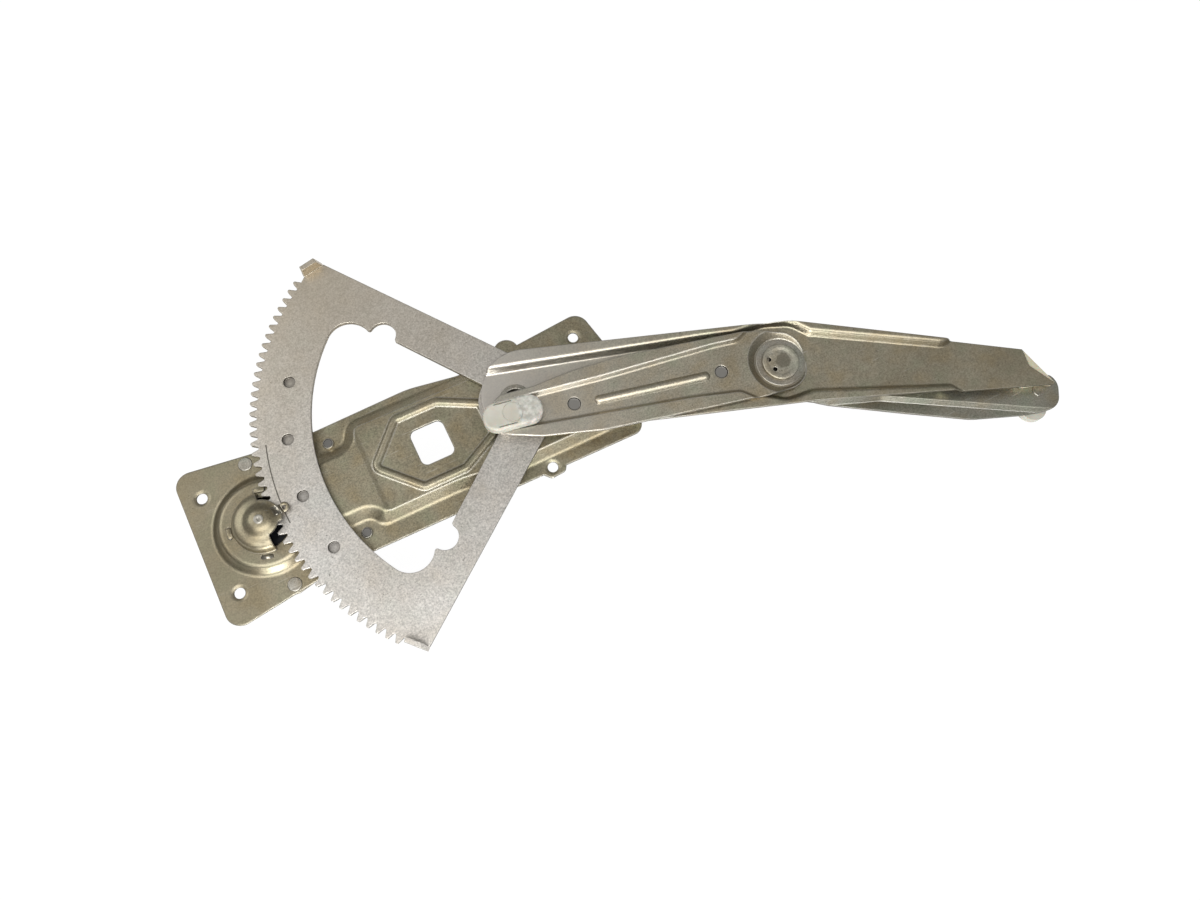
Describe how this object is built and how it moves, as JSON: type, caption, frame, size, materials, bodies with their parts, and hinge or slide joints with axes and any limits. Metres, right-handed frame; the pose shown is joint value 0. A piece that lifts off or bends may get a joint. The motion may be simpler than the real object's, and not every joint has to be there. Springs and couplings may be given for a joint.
{
  "type": "window regulator",
  "caption": "Hand-wound scissor window regulator: pressed plate, toothed sector with lift arm, pinion under a domed cap, crossing arm and nylon sliding shoes.",
  "frame": {"origin": "On the axis of the sector pivot, in the plane where the plate lies against the door panel.", "axes": "X along the plate away from the clutch, Y across the plate, Z out of the door panel towards the lift arms."},
  "size_m": [0.5221, 0.2841, 0.0654],
  "materials": {
    "zinc_plate": "dull yellowish zinc plating on pressed sheet",
    "zinc_arm": "satin zinc plating on pressed sheet",
    "sector_steel": "pale dull zinc plating on blanked plate",
    "rivet_steel": "peened zinc-plated steel",
    "dark_steel": "blackened, greased",
    "dark_plastic": "smooth moulded",
    "nylon": "natural off-white moulded nylon"
  },
  "bodies": {
    "frame": {"base_plate": "zinc_plate", "pinion_cap": "zinc_plate", "brake_drum": "zinc_plate", "drum_rivets": "rivet_steel", "pin_rivets": "rivet_steel", "pivot_bush": "rivet_steel", "pivot_washer": "dark_plastic", "brake_spring": "dark_steel"},
    "lift_sector": {"sector_gear": "sector_steel", "main_arm": "zinc_arm", "main_shoe_pin": "rivet_steel"},
    "drive": {"pinion": "dark_steel", "clutch_claw": "dark_steel", "crank_spindle": "rivet_steel"},
    "crossing_arm": {"aux_arm_front": "zinc_arm", "aux_arm_rear": "zinc_arm", "scissor_ring": "rivet_steel", "scissor_rivet": "rivet_steel", "front_shoe_pin": "rivet_steel", "rear_shoe_pin": "rivet_steel"},
    "main_slider": {"main_shoe": "nylon"},
    "front_slider": {"front_shoe": "nylon"},
    "rear_slider": {"rear_shoe": "nylon"}
  },
  "joints": [
    {"name": "sector_pivot", "type": "hinge", "parent": "frame", "child": "lift_sector", "pos_m": [0, 0, 0.009], "axis": [0, 0, 1], "range_deg": [-30, 48]},
    {"name": "crank_turn", "type": "hinge", "parent": "frame", "child": "drive", "pos_m": [-0.16294, -0.00427, 0], "axis": [0, 0, 1], "range_deg": [-1080, 680]},
    {"name": "scissor_pivot", "type": "hinge", "parent": "lift_sector", "child": "crossing_arm", "pos_m": [0.158, -0.0478, 0.012], "axis": [0, 0, 1], "range_deg": [-90, 75]},
    {"name": "main_shoe_pivot", "type": "hinge", "parent": "lift_sector", "child": "main_slider", "pos_m": [0.3014, -0.1195, 0.007], "axis": [0, 0, 1], "range_deg": [-90, 90]},
    {"name": "front_shoe_pivot", "type": "hinge", "parent": "crossing_arm", "child": "front_slider", "pos_m": [-0.0063, -0.0106, 0.0244], "axis": [0, 0, 1], "range_deg": [-90, 90]},
    {"name": "rear_shoe_pivot", "type": "hinge", "parent": "crossing_arm", "child": "rear_slider", "pos_m": [0.305, -0.1325, -0.0056], "axis": [0, 0, 1], "range_deg": [-90, 90]}
  ],
  "couplings": [
    {"joint": "crank_turn", "follows": "sector_pivot", "ratio": -22.286}
  ]
}
